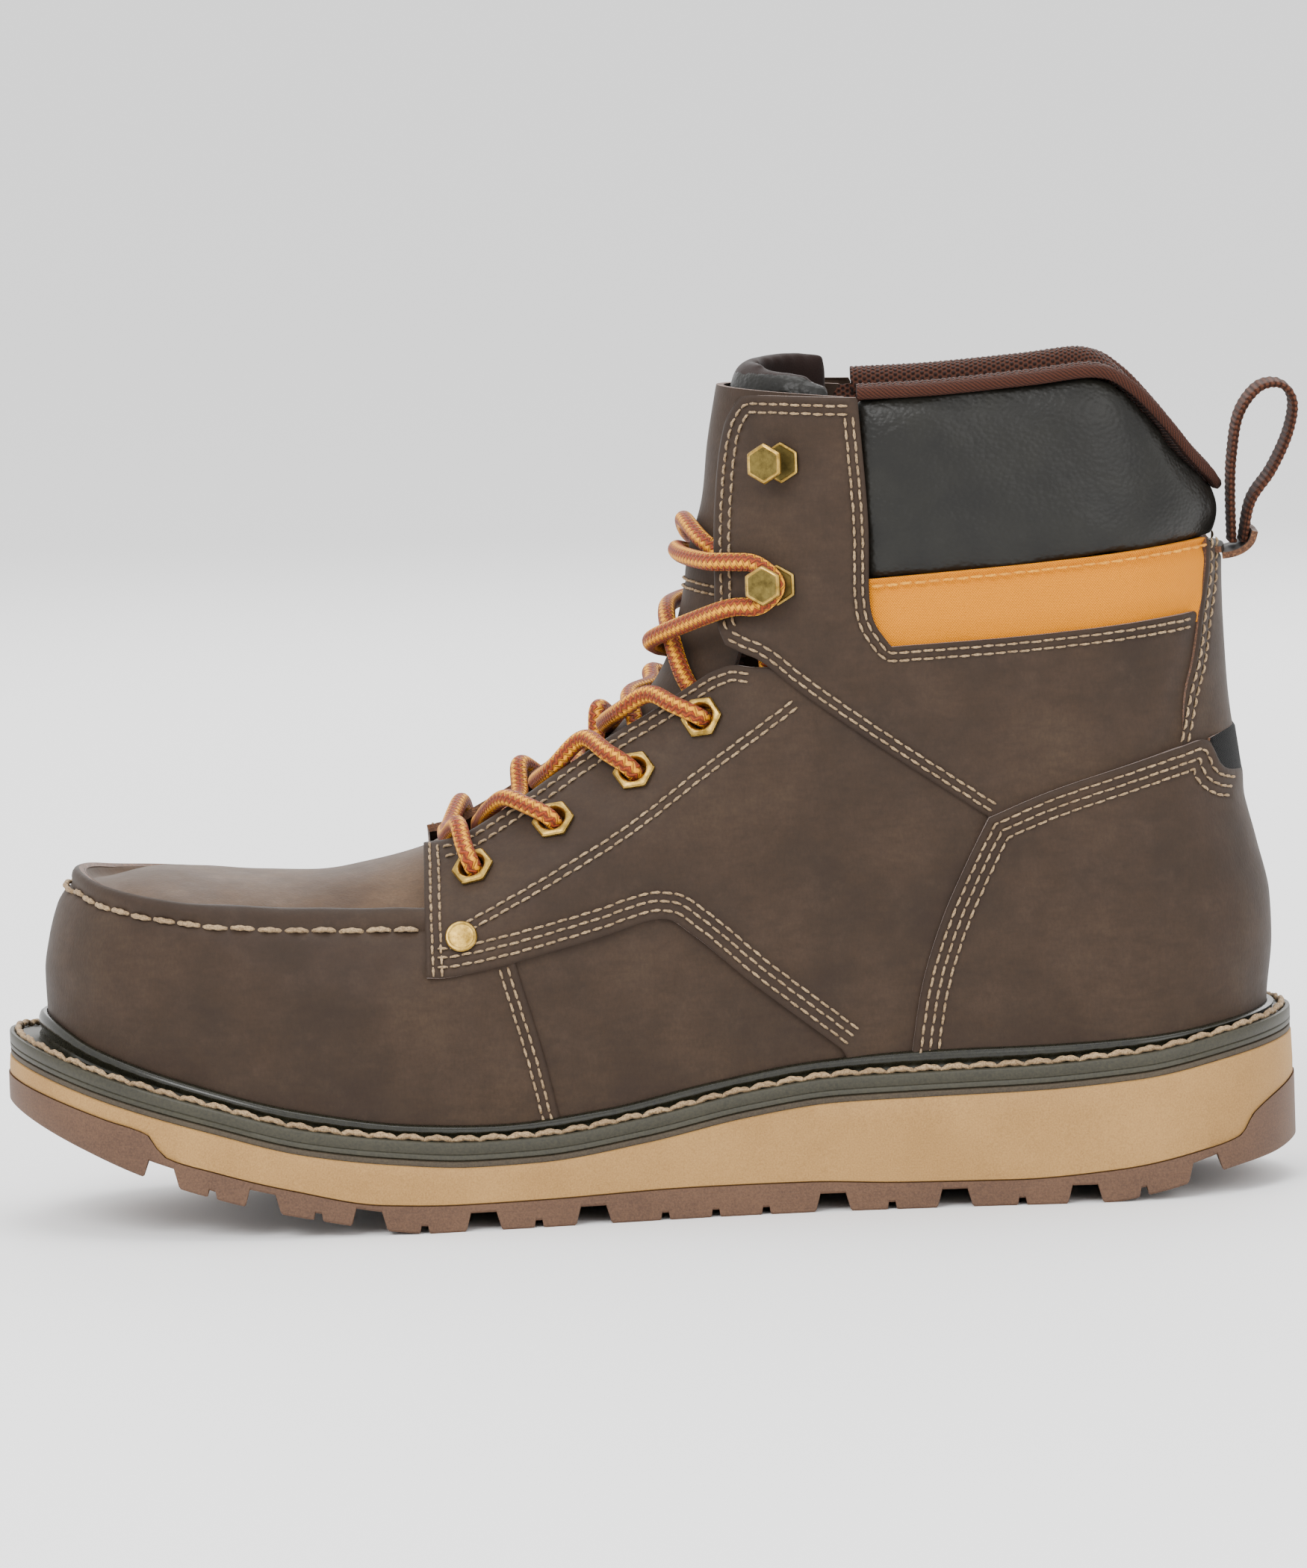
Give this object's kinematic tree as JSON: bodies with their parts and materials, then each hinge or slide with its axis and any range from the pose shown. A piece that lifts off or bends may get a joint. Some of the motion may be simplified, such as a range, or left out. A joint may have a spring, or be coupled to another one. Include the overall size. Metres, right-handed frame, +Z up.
{
  "type": "steel toe work boot",
  "caption": "Lace-up ankle work boot with a moc toe, inner steel toe cap, stitched welt and wedge sole.",
  "frame": {"origin": "on the ground, under the centre of the boot's bounding box", "axes": "+Z up from the ground, -X towards the toe, +X towards the heel, -Y towards the inner side of the foot"},
  "size_m": [0.3152, 0.1142, 0.201],
  "materials": {
    "sole_rubber": "matt, finely buffed",
    "wedge_foam": "matt, fine speckle",
    "strip": "matt",
    "welt_rubber": "semi-gloss",
    "thread": "twisted thread",
    "board": "pressed fibre board",
    "steel": "satin",
    "cork": "cork compound",
    "footbed_foam": "cloth over foam",
    "edge_rubber": "matt",
    "stiffener": "matt",
    "vinyl": "leather-grain vinyl",
    "binding": "knitted tape",
    "yellow_cloth": "twill",
    "plain_lining": "non-woven",
    "mesh_lining": "spacer mesh",
    "gusset_cloth": "plain weave",
    "brass": "antique, brushed",
    "washer_steel": "satin",
    "lace_cord": "two-colour braid",
    "lace_tip": "clear film over braid",
    "webbing": "ribbed webbing",
    "tag": "blank woven tag",
    "apron_leather": "oiled nubuck, rubbed lighter",
    "leather": "oiled nubuck"
  },
  "bodies": {
    "boot": {"outsole": "sole_rubber", "midsole": "wedge_foam", "midsole_strip": "strip", "welt": "welt_rubber", "welt_stitching": "thread", "insole_board": "board", "shank": "steel", "filler": "cork", "footbed": "footbed_foam", "toe_cap": "steel", "toe_cap_edge": "edge_rubber", "heel_stiffener": "stiffener", "vamp": "leather", "moc_apron": "apron_leather", "moc_seam_thread": "thread", "side_panel_medial": "leather", "side_panel_lateral": "leather", "quarter_medial": "leather", "quarter_lateral": "leather", "shaft_medial": "leather", "shaft_lateral": "leather", "heel_counter": "leather", "back_stay": "leather", "collar_medial": "vinyl", "collar_lateral": "vinyl", "collar_binding": "binding", "insert_medial": "yellow_cloth", "insert_lateral": "yellow_cloth", "vamp_lining": "plain_lining", "lining": "mesh_lining", "gusset_medial": "gusset_cloth", "gusset_lateral": "gusset_cloth", "eyelets_medial": "brass", "eyelets_lateral": "brass", "eyelet_washers": "washer_steel", "hooks_medial": "brass", "hooks_lateral": "brass", "rivet_studs": "brass", "lace": "lace_cord", "lace_tips": "lace_tip", "loop_tab": "leather", "heel_tag": "tag"},
    "tongue": {"tongue_leather": "leather", "tongue_pad": "vinyl", "tongue_lining": "mesh_lining"},
    "loop": {"pull_loop": "webbing"}
  },
  "joints": [
    {"name": "tongue_tilt", "type": "hinge", "parent": "boot", "child": "tongue", "pos_m": [-0.052, 0, 0.086], "axis": [0, 1, 0], "range_deg": [0, 7]},
    {"name": "pull_loop_swing", "type": "hinge", "parent": "boot", "child": "loop", "pos_m": [0.142, 0, 0.1564], "axis": [0, 1, 0], "range_deg": [0, 40], "stiffness_Nm_per_rad": 0.02}
  ]
}
